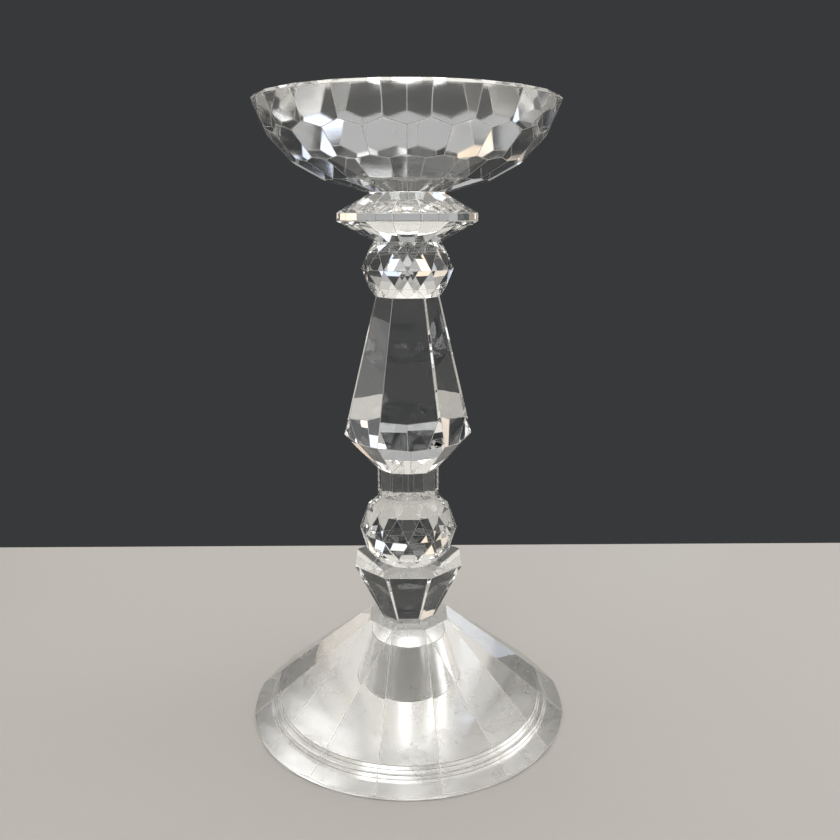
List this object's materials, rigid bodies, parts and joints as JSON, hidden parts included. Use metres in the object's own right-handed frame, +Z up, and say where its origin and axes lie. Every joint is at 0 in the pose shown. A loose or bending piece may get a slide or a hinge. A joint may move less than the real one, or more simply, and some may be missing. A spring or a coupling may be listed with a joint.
{
  "type": "glass candlestick",
  "caption": "Tall cut-glass pillar candlestick: faceted conical foot, bonded stem of cup, balls, collar, tapered column and disc, and a honeycomb-cut candle dish.",
  "frame": {"origin": "centre of the foot's underside, on the surface it stands on", "axes": "+Z up the stem towards the dish; -Y is the front, where a flat of the foot, the cup and the column faces the viewer; +X is to the viewer's right"},
  "size_m": [0.163, 0.163, 0.305],
  "materials": {
    "cut_glass": "ground and polished clear crystal glass",
    "clear_adhesive": "clear light-cured adhesive film"
  },
  "bodies": {
    "root": {"foot": "cut_glass", "bond_foot": "clear_adhesive", "stem_cup": "cut_glass", "bond_cup": "clear_adhesive", "lower_ball": "cut_glass", "bond_lower_ball": "clear_adhesive", "neck_collar": "cut_glass", "bond_neck": "clear_adhesive", "tapered_column": "cut_glass", "bond_column": "clear_adhesive", "upper_ball": "cut_glass", "bond_upper_ball": "clear_adhesive", "disc_knop": "cut_glass", "bond_disc": "clear_adhesive", "candle_dish": "cut_glass"}
  },
  "joints": []
}
